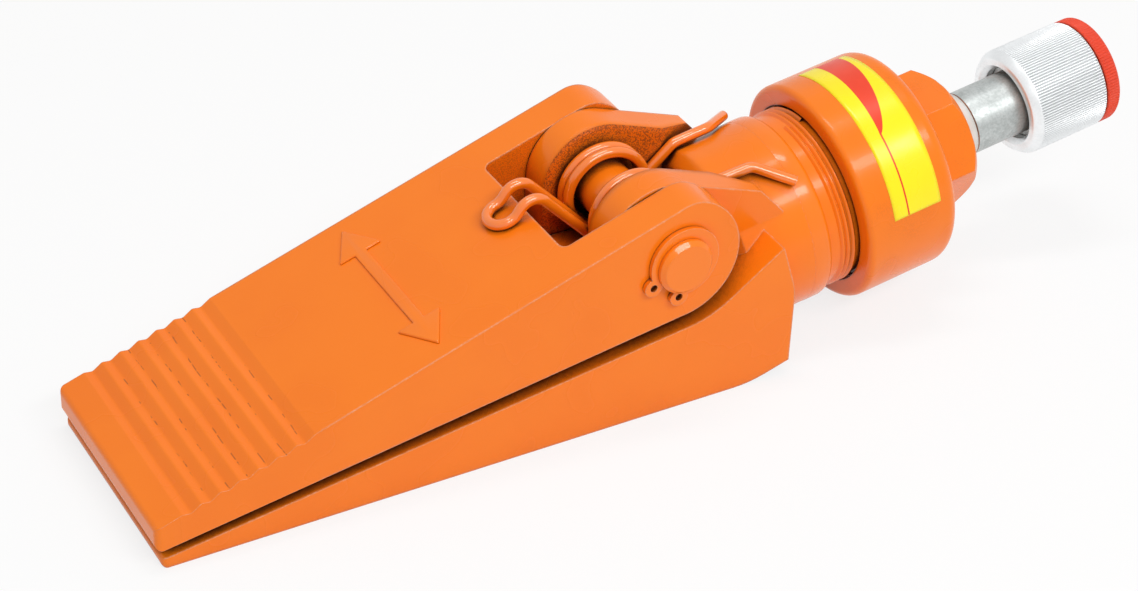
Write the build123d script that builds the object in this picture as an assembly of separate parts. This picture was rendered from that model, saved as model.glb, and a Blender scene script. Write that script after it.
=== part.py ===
from build123d import *
import math
import os

# Half-ton hydraulic wedge spreader, in millimetres.
# X runs from the wedge tips to the hose coupler, Y across the jaws, +Z up.
# The origin is on the flat underside, below the tips, on the middle plane.

# Jaws
jaw_width = 58.0
lower_nose_x = -2.2
upper_nose_x = -3.4
lower_tip_height = 2.95
lower_slope = 8.5
upper_under_height = 5.3
upper_under_slope = 9.3
upper_top_height = 12.3
upper_top_slope = 19.2
nose_corner_radius = 1.5
upper_nose_radius = 1.6
lower_nose_radius = 1.2

# Gripping teeth across the upper jaw's outer face near its tip
tooth_count = 7
tooth_pitch = 4.57
tooth_run = 2.1
tooth_depth = 1.0
tooth_root_radius = 1.2
tooth_crest_radius = 0.9
first_tooth_x = 3.0

# Pivot
pin_x = 127.8
pin_z = 42.2
pin_radius = 7.0
pin_end_past_jaw = 3.4
pin_chamfer = 1.0
pin_seat_clearance = 0.02
pin_running_clearance = 0.06

# Rear fork of the upper jaw
ear_radius = 15.8
ear_shoulder_radius = 8.0
notch_x = 101.8
notch_half_width = 19.4
notch_corner_radius = 2.0

# Inner lugs of the lower jaw
lug_outer_y = 19.0
lug_inner_y = 10.8
lug_radius = 14.5
lug_shoulder_x = 155.6
lug_shoulder_z = 47.8
lug_end_x = 162.5
lug_end_z = 40.2
lug_flare_x = 146.0
lug_flare_y = 18.0

# Lower casting behind the pivot
body_rear_x = 161.0
wing_top_x = 156.7
wing_top_z = 37.3
wing_slope = 35.6
wing_hollow_radius = 25.0
wing_back_z = 24.0
wing_back_radius = 14.0
sole_rise_x = 150.0
sole_rise = 3.4
sole_radius = 30.0

# Cylinder barrel, with lengths along its own axis from the rear of the casting
barrel_z = 24.8
barrel_tilt = 9.4
barrel_radius = 23.8
barrel_front = -11.5
barrel_front_chamfer = 3.0
barrel_shoulder = 11.5
barrel_shoulder_chamfer = 1.4
relief_radius = 22.0
thread_start = 14.0
thread_root_radius = 22.2
thread_major_radius = 23.0
thread_hidden_start = 24.5
barrel_end = 36.0

# Plunger and the cam heel that it pushes
stroke_angle = 0.6
heel_contact_length = 16.5
cam_clearance = 0.03
heel_width = 20.6
heel_tip_radius = 30.0
heel_tip_round = 1.2
heel_pocket_clearance = 1.0
heel_spring_clearance = 1.1
heel_root_length = 2.0
flank_steps = 8
plunger_radius = 11.1
plunger_clearance = 0.04
plunger_path_clearance = 0.5
plunger_nose_chamfer = 0.8
stop_flange_radius = 13.6
stop_flange_length = 5.0
stop_bore_radius = 14.0
stop_bore_start = 14.0
stop_clearance = 0.3
rest_button_radius = 8.0
rest_clearance = 0.1

# Seals
wiper_start = -9.5
wiper_length = 3.0
wiper_radius = 13.2
seal_start = 3.0
seal_length = 4.5
seal_radius = 14.2
backup_length = 1.5
seal_clearance = 0.03
wear_band_length = 3.0
wear_band_depth = 1.2
cap_seal_radius = 18.5
cap_seal_wire = 1.3

# End cap
cap_radius = 28.2
cap_start = 22.2
cap_length = 26.3
cap_front_radius = 1.6
cap_back_radius = 3.5
cap_mouth_radius = 23.4
cap_thread_clearance = 0.05
cap_seat_clearance = 0.05
boss_across_flats = 31.0
boss_turned_radius = 15.6
boss_chamfer_length = 4.0
boss_length = 14.0
port_radius = 4.0
port_thread_radius = 7.4
port_thread_depth = 9.5

# Coupler half
stub_radius = 7.0
tape_length = 5.0
tape_past_boss = 0.8
tape_clearance = 0.03
nipple_radius = 8.3
nipple_chamfer = 0.5
collar_radius = 11.4
collar_start = 85.4
collar_length = 2.8
nozzle_radius = 8.6
nozzle_end = 97.0
oil_bore_radius = 4.5
seat_start = 92.0
seat_hole_radius = 2.9
ball_radius = 4.0
ball_clearance = 0.05
check_wire = 0.7
check_coil_radius = 3.1
check_spring_length = 9.0
check_turns = 4
retainer_length = 4.0
retainer_hole_radius = 2.0
retainer_clearance = 0.02

# Free-turning sleeve and its dust cap
sleeve_radius = 14.05
sleeve_start = 82.0
sleeve_end = 104.4
sleeve_lip_length = 3.2
sleeve_lip_radius = 9.6
sleeve_lip_chamfer = 1.3
sleeve_front_chamfer = 1.6
sleeve_bore_radius = 11.9
sleeve_end_clearance = 0.2
ring_wire = 1.2
ring_gap_angle = 24.0
ring_clearance = 0.1
dust_cap_rim_radius = 14.0
dust_cap_rim_length = 4.0
dust_cap_plug_radius = 11.75
dust_cap_plug_length = 6.0
dust_cap_wall = 1.8
dust_cap_web = 2.2
dust_cap_edge = 0.8

# Return spring around the pin
spring_wire = 2.5
spring_coil_radius = 10.3
spring_turns = 2
spring_pitch = 2.62
spring_inner_y = 3.5
spring_loop_x = 96.5
spring_crest_x = 102.0
spring_crest_rise = 5.6
spring_bend_radius = 3.0
wire_sides = 8
spring_seat_gap = 0.15
leg_start = -8.5
leg_start_angle = 21.6
leg_end = 9.2
leg_end_angle = 42.5
leg_gap = 0.6

# Retaining rings on the pin
clip_thickness = 1.2
clip_groove_depth = 0.45
clip_clearance = 0.1
clip_outer_radius = 9.0
clip_offset = 0.6
clip_eye_radius = 2.3
clip_eye_hole_radius = 0.95
clip_eye_distance = 8.9
clip_eye_spread = 56.0
clip_mouth_angle = 237.0
clip_mouth_width = 4.2

# How far a cutter reaches past the face that it opens
cut_past = 1.0

# Values worked out from the sizes above
half_width = jaw_width / 2
barrel_sin = math.sin(math.radians(barrel_tilt))
barrel_cos = math.cos(math.radians(barrel_tilt))
pin_to_barrel_x = pin_x - body_rear_x
pin_to_barrel_z = pin_z - barrel_z
pivot_station = pin_to_barrel_x * barrel_cos + pin_to_barrel_z * barrel_sin
cam_radius = pin_to_barrel_z * barrel_cos - pin_to_barrel_x * barrel_sin
stroke = cam_radius * stroke_angle
plunger_front = pivot_station + heel_contact_length + cam_clearance
cap_end = cap_start + cap_length
cap_floor = barrel_end + cap_seat_clearance
boss_end = cap_end + boss_length
stub_start = boss_end - port_thread_depth
bore_radius = plunger_radius + plunger_clearance
flange_front = stop_bore_start + stroke + stop_clearance
collar_end = collar_start + collar_length
ball_centre = seat_start - math.sqrt((ball_radius + ball_clearance) ** 2 - seat_hole_radius ** 2)
check_spring_end = ball_centre - ball_radius - ball_clearance
check_spring_start = check_spring_end - check_spring_length


def lower_top_z(x):
    """Height of the lower jaw's upper face."""
    return lower_tip_height + x * math.tan(math.radians(lower_slope))


def upper_under_z(x):
    """Height of the upper jaw's underside."""
    return upper_under_height + x * math.tan(math.radians(upper_under_slope))


def upper_top_z(x):
    """Height of the upper jaw's top face."""
    return upper_top_height + x * math.tan(math.radians(upper_top_slope))


def about_pin(radius, angle):
    """Point in side view, at a radius and an angle in degrees from +X around the pin."""
    turn = math.radians(angle)
    return (pin_x + radius * math.cos(turn), pin_z + radius * math.sin(turn))


def side_face(corners):
    """Side-view face through corners (x, z), where a third value rounds that corner."""
    face = make_face(Polyline([corner[:2] for corner in corners], close=True))
    for corner in corners:
        if len(corner) == 3:
            nearest = face.vertices().sort_by_distance((corner[0], corner[1], 0))[0]
            face = fillet(nearest, corner[2])
    return face


def across(face, y_from, y_to):
    """Side-view face made solid between two places across the jaws."""
    solid = extrude(Plane.XZ * face, (y_to - y_from) / 2, both=True)
    return Pos(0, (y_from + y_to) / 2, 0) * solid


def on_barrel(shape):
    """Shape drawn along +X from the rear of the casting, moved onto the barrel's axis."""
    return Location((body_rear_x, 0, barrel_z), (0, -barrel_tilt, 0)) * shape


def turned(corners):
    """Ring or shaft from corners (length, radius), turned about +X."""
    face = make_face(Polyline(corners, close=True))
    return revolve(Plane.XZ * face, Axis.X)


def tube(start, end, inner, outer):
    """Plain ring or shaft from one length to another."""
    return turned([(start, inner), (end, inner), (end, outer), (start, outer)])


def teeth():
    """Saw-tooth cutters across the upper jaw: each tooth falls away from its crest."""
    cutters = []
    for index in range(tooth_count):
        crest = first_tooth_x + index * tooth_pitch
        root = crest + tooth_run
        following = crest + tooth_pitch
        face = side_face([
            (crest, upper_top_z(crest)),
            (root, upper_top_z(root) - tooth_depth, tooth_root_radius),
            (following, upper_top_z(following)),
            (following, upper_top_z(following) + tooth_depth),
            (crest, upper_top_z(crest) + tooth_depth),
        ])
        cutters.append(across(face, -jaw_width, jaw_width))
    return cutters


def rounded_nose(x_front):
    """Plan-view outline that rounds the two front corners of a jaw."""
    outline = Pos(x_front + body_rear_x, 0) * Rectangle(2 * body_rear_x, jaw_width)
    front = outline.vertices().sort_by(Axis.X)[0:2]
    return extrude(fillet(front, nose_corner_radius), body_rear_x, both=True)


def lower_jaw_body():
    """Casting with the lower wedge, the two inner lugs and the cylinder barrel."""
    wing_run = math.tan(math.radians(wing_slope))
    top_run = math.tan(math.radians(lower_slope))
    hollow_x = (lower_tip_height - wing_top_z + wing_run * wing_top_x) / (wing_run - top_run)
    wedge = across(side_face([
        (lower_nose_x, 0, lower_nose_radius),
        (sole_rise_x, 0, sole_radius),
        (body_rear_x, sole_rise),
        (body_rear_x, wing_back_z, wing_back_radius),
        (wing_top_x, wing_top_z),
        (hollow_x, lower_top_z(hollow_x), wing_hollow_radius),
        (lower_nose_x, lower_top_z(lower_nose_x), lower_nose_radius),
    ]), -half_width, half_width)
    wedge = wedge & rounded_nose(lower_nose_x)
    to_shoulder = (lug_shoulder_x - pin_x, lug_shoulder_z - pin_z)
    lean = math.degrees(math.atan2(to_shoulder[1], to_shoulder[0]))
    reach = math.degrees(math.acos(lug_radius / math.hypot(*to_shoulder)))
    touch = about_pin(lug_radius, lean + reach)
    lug_face = side_face([
        (pin_x - lug_radius, pin_z),
        (pin_x - lug_radius, lower_top_z(pin_x) / 2),
        (body_rear_x, lower_top_z(pin_x) / 2),
        (lug_end_x, lug_end_z),
        (lug_shoulder_x, lug_shoulder_z),
        touch,
        (pin_x, pin_z),
    ]) + Pos(pin_x, pin_z) * Circle(lug_radius)
    lug = across(lug_face, lug_inner_y, lug_outer_y)
    flare = Polyline(
        (lug_flare_x, lug_inner_y),
        (lug_end_x, lug_flare_y),
        (lug_end_x, 0),
        (lug_flare_x, 0),
        close=True,
    )
    lug = lug - extrude(make_face(flare), jaw_width)
    barrel = on_barrel(turned([
        (barrel_front, 0),
        (barrel_front, barrel_radius - barrel_front_chamfer),
        (barrel_front + barrel_front_chamfer, barrel_radius),
        (barrel_shoulder - barrel_shoulder_chamfer, barrel_radius),
        (barrel_shoulder, barrel_radius - barrel_shoulder_chamfer),
        (barrel_shoulder, relief_radius),
        (thread_start, relief_radius),
        (thread_start, thread_root_radius),
        (thread_hidden_start, thread_root_radius),
        (thread_hidden_start, thread_major_radius),
        (barrel_end - barrel_shoulder_chamfer, thread_major_radius),
        (barrel_end, thread_major_radius - barrel_shoulder_chamfer),
        (barrel_end, 0),
    ]))
    pocket = Pos(pin_x, pin_z) * Circle(heel_tip_radius + heel_pocket_clearance)
    pocket = across(pocket, -lug_inner_y, lug_inner_y)
    behind = on_barrel(Pos(barrel_front + jaw_width, 0, 0) * Box(2 * jaw_width, jaw_width, 3 * jaw_width))
    pocket = pocket - behind
    pin_hole = Pos(pin_x, pin_z) * Circle(pin_radius + pin_seat_clearance)
    pin_hole = across(pin_hole, -half_width, half_width)
    path_end = plunger_front - stroke - heel_pocket_clearance
    bores = on_barrel(
        tube(barrel_front - cut_past, stop_bore_start, 0, bore_radius)
        + tube(path_end, barrel_front, 0, bore_radius + plunger_path_clearance)
        + tube(stop_bore_start, barrel_end + cut_past, 0, stop_bore_radius)
        + tube(wiper_start, wiper_start + wiper_length, 0, wiper_radius)
        + tube(seal_start, seal_start + seal_length + backup_length, 0, seal_radius)
    )
    body = wedge + lug + mirror(lug, Plane.XZ) + barrel
    return body - pocket - pin_hole - bores


def upper_jaw():
    """Wedge jaw with its rear fork and the cam heel under the pin."""
    top_turn = math.radians(upper_top_slope)
    top_distance = (upper_top_z(pin_x) - pin_z) * math.cos(top_turn)
    top_foot = about_pin(top_distance, upper_top_slope + 90)
    under_turn = math.radians(upper_under_slope)
    under_distance = (pin_z - upper_under_z(pin_x)) * math.cos(under_turn)
    under_foot = about_pin(under_distance, upper_under_slope - 90)
    wedge = side_face([
        (upper_nose_x, upper_under_z(upper_nose_x), upper_nose_radius),
        under_foot,
        (pin_x, pin_z),
        top_foot,
        (upper_nose_x, upper_top_z(upper_nose_x), upper_nose_radius),
    ])
    above = Polyline(
        (0, upper_top_z(0)),
        (body_rear_x, upper_top_z(body_rear_x)),
        (0, upper_top_z(body_rear_x)),
        close=True,
    )
    outline = wedge + Pos(pin_x, pin_z) * Circle(ear_radius) - make_face(above)
    chord = math.sqrt(ear_radius ** 2 - top_distance ** 2)
    shoulder = (top_foot[0] + chord * math.cos(top_turn), top_foot[1] + chord * math.sin(top_turn), 0)
    outline = fillet(outline.vertices().sort_by_distance(shoulder)[0], ear_shoulder_radius)
    jaw = across(outline, -half_width, half_width) & rounded_nose(upper_nose_x)
    notch = Pos(notch_x + jaw_width, 0) * Rectangle(2 * jaw_width, 2 * notch_half_width)
    notch = fillet(notch.vertices().sort_by(Axis.X)[0:2], notch_corner_radius)
    jaw = jaw - extrude(notch, body_rear_x, both=True)
    jaw = jaw + cam_heel()
    pin_hole = Pos(pin_x, pin_z) * Circle(pin_radius + pin_running_clearance)
    jaw = jaw - across(pin_hole, -half_width, half_width)
    jaw = jaw - teeth()
    crests = []
    for index in range(tooth_count + 1):
        crest = first_tooth_x + index * tooth_pitch
        crests += jaw.edges().filter_by(Axis.Y).sort_by_distance((crest, 0, upper_top_z(crest)))[0:1]
    return fillet(crests, tooth_crest_radius)


def involute(reach):
    """Side-view point of the cam face that meets the plunger at this distance past the pivot."""
    radius = math.hypot(cam_radius, reach)
    swing = math.atan2(reach, cam_radius) + (heel_contact_length - reach) / cam_radius
    return about_pin(radius, -90 + barrel_tilt + math.degrees(swing))


def cam_heel():
    """Heel below the pin, whose rear face is an involute, so that a flat plunger turns it evenly."""
    inner_radius = spring_coil_radius + spring_wire / 2 + heel_spring_clearance
    tip_reach = math.sqrt(heel_tip_radius ** 2 - cam_radius ** 2)
    flank = [involute(tip_reach * (1 - step / flank_steps)) for step in range(flank_steps + 1)]
    tip = flank[0]
    base = flank[-1]
    base_angle = math.degrees(math.atan2(base[1] - pin_z, base[0] - pin_x))
    tip_angle = math.degrees(math.atan2(tip[1] - pin_z, tip[0] - pin_x))
    inner_end = about_pin(inner_radius, base_angle)
    under_turn = math.radians(upper_under_slope)
    under_distance = (pin_z - upper_under_z(pin_x)) * math.cos(under_turn)
    front_angle = -90 + upper_under_slope - math.degrees(math.acos(under_distance / heel_tip_radius))
    front = about_pin(heel_tip_radius, front_angle)
    root_x = notch_x - heel_root_length
    outline = [
        Line((root_x, pin_z - inner_radius), (pin_x, pin_z - inner_radius)),
        CenterArc((pin_x, pin_z), inner_radius, -90, base_angle + 90),
        Line(inner_end, base),
        Spline(flank[::-1]),
        CenterArc((pin_x, pin_z), heel_tip_radius, tip_angle, front_angle - tip_angle),
        Line(front, (root_x, upper_under_z(root_x))),
        Line((root_x, upper_under_z(root_x)), (root_x, pin_z - inner_radius)),
    ]
    face = make_face(outline)
    face = fillet(face.vertices().sort_by_distance((tip[0], tip[1], 0))[0], heel_tip_round)
    return across(face, -heel_width / 2, heel_width / 2)


def pivot_pin():
    """Plain pin with a groove near each end for its retaining ring."""
    length = half_width + pin_end_past_jaw
    groove_near = half_width + clip_clearance
    groove_far = groove_near + clip_thickness + clip_clearance
    groove_radius = pin_radius - clip_groove_depth
    profile = [(0, 0), (0, pin_radius), (groove_near, pin_radius), (groove_near, groove_radius)]
    profile += [(groove_far, groove_radius), (groove_far, pin_radius)]
    profile += [(length - pin_chamfer, pin_radius), (length, pin_radius - pin_chamfer), (length, 0)]
    half = Rot(0, 0, 90) * turned(profile)
    return Pos(pin_x, 0, pin_z) * (half + mirror(half, Plane.XZ))


def retaining_ring(side):
    """Outside snap ring with two eyes, on one end of the pin."""
    groove_radius = pin_radius - clip_groove_depth + clip_clearance
    mouth = math.radians(clip_mouth_angle)
    thick_side = Pos(-clip_offset * math.cos(mouth), -clip_offset * math.sin(mouth))
    ring = thick_side * Circle(clip_outer_radius) - Circle(groove_radius)
    eyes = Sketch()
    holes = Sketch()
    for turn in (-clip_eye_spread / 2, clip_eye_spread / 2):
        angle = mouth + math.radians(turn)
        place = Pos(clip_eye_distance * math.cos(angle), clip_eye_distance * math.sin(angle))
        eyes += place * Circle(clip_eye_radius)
        holes += place * Circle(clip_eye_hole_radius)
    gap = Pos(clip_outer_radius, 0) * Rectangle(2 * clip_outer_radius, clip_mouth_width)
    gap = Rot(0, 0, clip_mouth_angle) * gap
    flat = ring + eyes - Circle(groove_radius) - holes - gap
    middle = half_width + clip_clearance + (clip_thickness + clip_clearance) / 2
    ring = extrude(Plane.XZ * flat, clip_thickness / 2, both=True)
    return Pos(pin_x, side * middle, pin_z) * ring


def spring_half():
    """Wire centre line of the near half of the return spring, from a leg's end to the loop."""
    seat = spring_wire / 2 / math.cos(math.radians(upper_top_slope)) + spring_seat_gap
    loop_side = (spring_loop_x, upper_top_z(spring_loop_x) + seat)
    crest = (spring_crest_x, upper_top_z(spring_crest_x) + spring_crest_rise)
    entry = tangent_angle(crest, 1)
    start = about_pin(spring_coil_radius, entry)
    front = FilletPolyline(loop_side, crest, start, radius=spring_bend_radius)
    front = Pos(0, -spring_inner_y, 0) * (Plane.XZ * front)
    over = leg_point(leg_start, leg_start_angle)
    leave = tangent_angle((over[0], over[2]), -1) + 360
    coil_angle = spring_turns * 360 + leave - entry
    coil, rise = coil_of(spring_coil_radius, spring_pitch, coil_angle, spring_wire)
    coil = Pos(pin_x, -spring_inner_y, pin_z) * (Plane.XZ * (Rot(0, 0, entry) * coil))
    end = about_pin(spring_coil_radius, leave)
    coil_end = (end[0], -spring_inner_y - rise, end[1])
    over = (over[0], coil_end[1], over[2])
    leg = FilletPolyline(coil_end, over, leg_point(leg_end, leg_end_angle), radius=spring_bend_radius)
    return front, coil, leg


def coil_of(radius, pitch, coil_angle, diameter):
    """Coil about Z from +X, in flat half turns tipped so that each climbs half a pitch, and its rise."""
    tip = math.atan(pitch / 4 / radius)
    section = Plane.XZ * (Pos(radius / math.cos(tip), 0) * RegularPolygon(diameter / 2, wire_sides))
    turns = []
    done = 0
    while done < coil_angle:
        turn = min(180, coil_angle - done)
        level = pitch * done / 360 + pitch / 4
        place = Pos(0, 0, level) * Rot(0, 0, done) * Rot(0, math.degrees(tip), 0)
        turns.append(place * revolve(section, Axis.Z, turn))
        rise = level - pitch / 4 * math.cos(math.radians(turn))
        done += turn
    return turns[0] + turns[1:], rise


def tangent_angle(point, side):
    """Angle around the pin where a straight wire through the point touches the coil."""
    reach = (point[0] - pin_x, point[1] - pin_z)
    lean = math.degrees(math.atan2(reach[1], reach[0]))
    return lean + side * math.degrees(math.acos(spring_coil_radius / math.hypot(*reach)))


def leg_point(along, angle):
    """Point of the near spring leg on the barrel, at a length and an angle around it."""
    radius = barrel_radius + spring_wire / 2 + leg_gap
    height = radius * math.cos(math.radians(angle))
    return (
        body_rear_x + along * barrel_cos - height * barrel_sin,
        -radius * math.sin(math.radians(angle)),
        barrel_z + along * barrel_sin + height * barrel_cos,
    )


def wire_along(path):
    """Round spring wire along a path."""
    section = Plane(origin=path @ 0, z_dir=path % 0) * RegularPolygon(spring_wire / 2, wire_sides)
    return sweep(section, path)


def torsion_spring():
    """Double return spring: two coils on the pin, a loop on the upper jaw, two legs on the barrel."""
    front, coil, leg = spring_half()
    slope = math.radians(upper_top_slope)
    side = front @ 0
    tip = (side.X - spring_inner_y * math.cos(slope), 0, side.Z - spring_inner_y * math.sin(slope))
    loop = ThreePointArc(side, tip, (side.X, -side.Y, side.Z))
    half = wire_along(front) + coil + wire_along(leg)
    return half + wire_along(loop) + mirror(half, Plane.XZ)


def plunger():
    """Ram that pushes the cam heel, with a stop flange behind."""
    flange_back = flange_front + stop_flange_length
    groove_start = flange_front + (stop_flange_length - wear_band_length) / 2
    groove_end = groove_start + wear_band_length
    groove_radius = stop_flange_radius - wear_band_depth
    return on_barrel(turned([
        (plunger_front, 0),
        (plunger_front, plunger_radius - plunger_nose_chamfer),
        (plunger_front + plunger_nose_chamfer, plunger_radius),
        (flange_front, plunger_radius),
        (flange_front, stop_flange_radius),
        (groove_start, stop_flange_radius),
        (groove_start, groove_radius),
        (groove_end, groove_radius),
        (groove_end, stop_flange_radius),
        (flange_back, stop_flange_radius),
        (flange_back, rest_button_radius),
        (cap_floor - rest_clearance, rest_button_radius),
        (cap_floor - rest_clearance, 0),
    ]))


def wear_band():
    """Guide band in the groove of the plunger's flange."""
    start = flange_front + (stop_flange_length - wear_band_length) / 2 + seal_clearance
    end = start + wear_band_length - 2 * seal_clearance
    inner = stop_flange_radius - wear_band_depth + seal_clearance
    return on_barrel(tube(start, end, inner, stop_bore_radius - seal_clearance))


def wiper_ring():
    """Scraper at the mouth of the bore, with a lip that leans forward."""
    start = wiper_start + seal_clearance
    end = wiper_start + wiper_length - seal_clearance
    lip = plunger_radius + seal_clearance
    outer = wiper_radius - seal_clearance
    return on_barrel(turned([
        (start, lip),
        (start + wiper_length / 4, lip),
        (start + wiper_length / 2, (lip + outer) / 2),
        (end, (lip + outer) / 2),
        (end, outer),
        (start, outer),
    ]))


def plunger_seal():
    """Cup seal around the plunger, open towards the oil."""
    start = seal_start + backup_length + seal_clearance
    end = seal_start + backup_length + seal_length - seal_clearance
    lip = plunger_radius + seal_clearance
    outer = seal_radius - seal_clearance
    middle = (lip + outer) / 2
    return on_barrel(turned([
        (start, lip),
        (end, lip),
        (start + seal_length / 2, middle),
        (end, outer),
        (start, outer),
    ]))


def backup_ring():
    """Flat ring that keeps the cup seal out of the running gap."""
    start = seal_start + seal_clearance
    end = seal_start + backup_length - seal_clearance
    return on_barrel(tube(start, end, plunger_radius + seal_clearance, seal_radius - seal_clearance))


def end_cap():
    """Cap screwed over the barrel, with a hexagon boss that takes the coupler."""
    shell = turned([
        (cap_floor, 0),
        (cap_floor, cap_mouth_radius - barrel_shoulder_chamfer),
        (cap_floor - barrel_shoulder_chamfer, thread_major_radius + cap_thread_clearance),
        (thread_hidden_start, thread_major_radius + cap_thread_clearance),
        (thread_hidden_start, cap_mouth_radius),
        (cap_start, cap_mouth_radius),
        (cap_start, cap_radius),
        (cap_end, cap_radius),
        (cap_end, 0),
    ])
    rims = shell.edges().filter_by(GeomType.CIRCLE).group_by(SortBy.RADIUS)[-1].sort_by(Axis.X)
    shell = fillet(rims[-1], cap_back_radius)
    rims = shell.edges().filter_by(GeomType.CIRCLE).group_by(SortBy.RADIUS)[-1].sort_by(Axis.X)
    shell = fillet(rims[0], cap_front_radius)
    hexagon = RegularPolygon(boss_across_flats / 2, 6, major_radius=False)
    boss = extrude(Plane.YZ.offset(cap_end - cap_back_radius) * hexagon, boss_length + cap_back_radius)
    crown = boss_turned_radius + boss_chamfer_length
    boss = boss & turned([
        (cap_floor, 0),
        (cap_floor, crown),
        (boss_end - boss_chamfer_length, crown),
        (boss_end, boss_turned_radius),
        (boss_end, 0),
    ])
    port = tube(cap_floor - cut_past, stub_start, 0, port_radius)
    port += tube(stub_start, boss_end + cut_past, 0, port_thread_radius)
    groove_inner = cap_seal_radius - cap_seal_wire
    groove = tube(cap_floor - cut_past, cap_floor + cap_seal_wire, groove_inner, groove_inner + 2 * cap_seal_wire)
    return on_barrel(shell + boss - port - groove)


def cap_seal():
    """Ring seal between the barrel's end and the cap's floor."""
    wire = cap_seal_wire - seal_clearance
    face = Pos(cap_floor, cap_seal_radius) * Circle(wire)
    below = Pos(cap_floor - wire, cap_seal_radius) * Rectangle(2 * wire + 2 * cap_seat_clearance, 3 * wire)
    return on_barrel(revolve(Plane.XZ * (face - below), Axis.X))


def coupler_body():
    """Nipple screwed into the cap, with a collar for the sleeve and a seat for the check ball."""
    body = turned([
        (stub_start + tape_clearance, 0),
        (stub_start + tape_clearance, stub_radius),
        (boss_end + tape_past_boss, stub_radius),
        (boss_end + tape_past_boss, nipple_radius - nipple_chamfer),
        (boss_end + tape_past_boss + nipple_chamfer, nipple_radius),
        (collar_start, nipple_radius),
        (collar_start, collar_radius),
        (collar_end, collar_radius),
        (collar_end, nozzle_radius),
        (nozzle_end - nipple_chamfer, nozzle_radius),
        (nozzle_end, nozzle_radius - nipple_chamfer),
        (nozzle_end, 0),
    ])
    bore = tube(stub_start - cut_past, seat_start, 0, oil_bore_radius)
    bore += tube(seat_start - cut_past, nozzle_end + cut_past, 0, seat_hole_radius)
    return on_barrel(body - bore)


def thread_tape():
    """Sealing tape around the nipple's thread, a little of it showing past the boss."""
    outer = port_thread_radius - tape_clearance
    return on_barrel(tube(
        boss_end - tape_length,
        boss_end + tape_past_boss - tape_clearance,
        stub_radius + tape_clearance,
        outer,
    ))


def spring_retainer():
    """Hollow plug that carries the check spring in the nipple's bore."""
    end = check_spring_start - seal_clearance
    outer = oil_bore_radius - retainer_clearance
    return on_barrel(tube(end - retainer_length, end, retainer_hole_radius, outer))


def check_ball():
    """Ball that closes the coupler until the hose half pushes it in."""
    return on_barrel(Pos(ball_centre, 0, 0) * Sphere(ball_radius))


def check_spring():
    """Light spring behind the check ball."""
    pitch = (check_spring_length - check_wire) / check_turns
    coil, rise = coil_of(check_coil_radius, pitch, check_turns * 360, check_wire)
    start = check_spring_end - check_wire / 2 - rise
    return on_barrel(Pos(start, 0, 0) * (Rot(0, 90, 0) * coil))


def coupler_sleeve():
    """Free-turning sleeve that pulls the hose half home."""
    groove_start = collar_end + ring_clearance
    groove_end = groove_start + ring_wire + 2 * ring_clearance
    groove_radius = sleeve_bore_radius + ring_wire / 2
    return on_barrel(turned([
        (sleeve_start, sleeve_lip_radius + sleeve_lip_chamfer),
        (sleeve_start + sleeve_lip_chamfer, sleeve_lip_radius),
        (sleeve_start + sleeve_lip_length, sleeve_lip_radius),
        (sleeve_start + sleeve_lip_length, sleeve_bore_radius),
        (groove_start, sleeve_bore_radius),
        (groove_start, groove_radius),
        (groove_end, groove_radius),
        (groove_end, sleeve_bore_radius),
        (sleeve_end, sleeve_bore_radius),
        (sleeve_end, sleeve_radius),
        (sleeve_start + sleeve_front_chamfer, sleeve_radius),
        (sleeve_start, sleeve_radius - sleeve_front_chamfer),
    ]))


def sleeve_ring():
    """Split wire ring in the sleeve that keeps it on the nipple's collar."""
    middle = collar_end + 2 * ring_clearance + ring_wire / 2
    outer = sleeve_bore_radius + ring_wire / 2 - ring_clearance
    face = Pos(middle, outer - ring_wire / 2) * RegularPolygon(ring_wire / 2, wire_sides)
    ring = revolve(Plane.XZ * face, Axis.X, 360 - ring_gap_angle)
    return on_barrel(ring)


def dust_cap():
    """Plug with a rim that closes the sleeve."""
    plug_start = sleeve_end + sleeve_end_clearance - dust_cap_plug_length
    rim_start = sleeve_end + sleeve_end_clearance
    rim_end = rim_start + dust_cap_rim_length
    return on_barrel(turned([
        (rim_end - dust_cap_web, 0),
        (rim_end - dust_cap_web, dust_cap_plug_radius - dust_cap_wall),
        (plug_start, dust_cap_plug_radius - dust_cap_wall),
        (plug_start, dust_cap_plug_radius - dust_cap_edge / 2),
        (plug_start + dust_cap_edge, dust_cap_plug_radius),
        (rim_start, dust_cap_plug_radius),
        (rim_start, dust_cap_rim_radius),
        (rim_end - dust_cap_edge, dust_cap_rim_radius),
        (rim_end, dust_cap_rim_radius - dust_cap_edge),
        (rim_end, 0),
    ]))


pieces = {
    "lower_jaw_body": lower_jaw_body(),
    "upper_jaw": upper_jaw(),
    "pivot_pin": pivot_pin(),
    "retaining_ring_near": retaining_ring(-1),
    "retaining_ring_far": retaining_ring(1),
    "torsion_spring": torsion_spring(),
    "plunger": plunger(),
    "wear_band": wear_band(),
    "wiper_ring": wiper_ring(),
    "plunger_seal": plunger_seal(),
    "backup_ring": backup_ring(),
    "end_cap": end_cap(),
    "cap_seal": cap_seal(),
    "coupler_body": coupler_body(),
    "thread_tape": thread_tape(),
    "spring_retainer": spring_retainer(),
    "check_spring": check_spring(),
    "check_ball": check_ball(),
    "coupler_sleeve": coupler_sleeve(),
    "sleeve_ring": sleeve_ring(),
    "dust_cap": dust_cap(),
}

os.makedirs("parts", exist_ok=True)
for name, shape in pieces.items():
    export_step(shape, "parts/" + name + ".step")
    print(name, round(shape.volume / 1000, 2), "cm3", len(shape.solids()), "solid")
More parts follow.
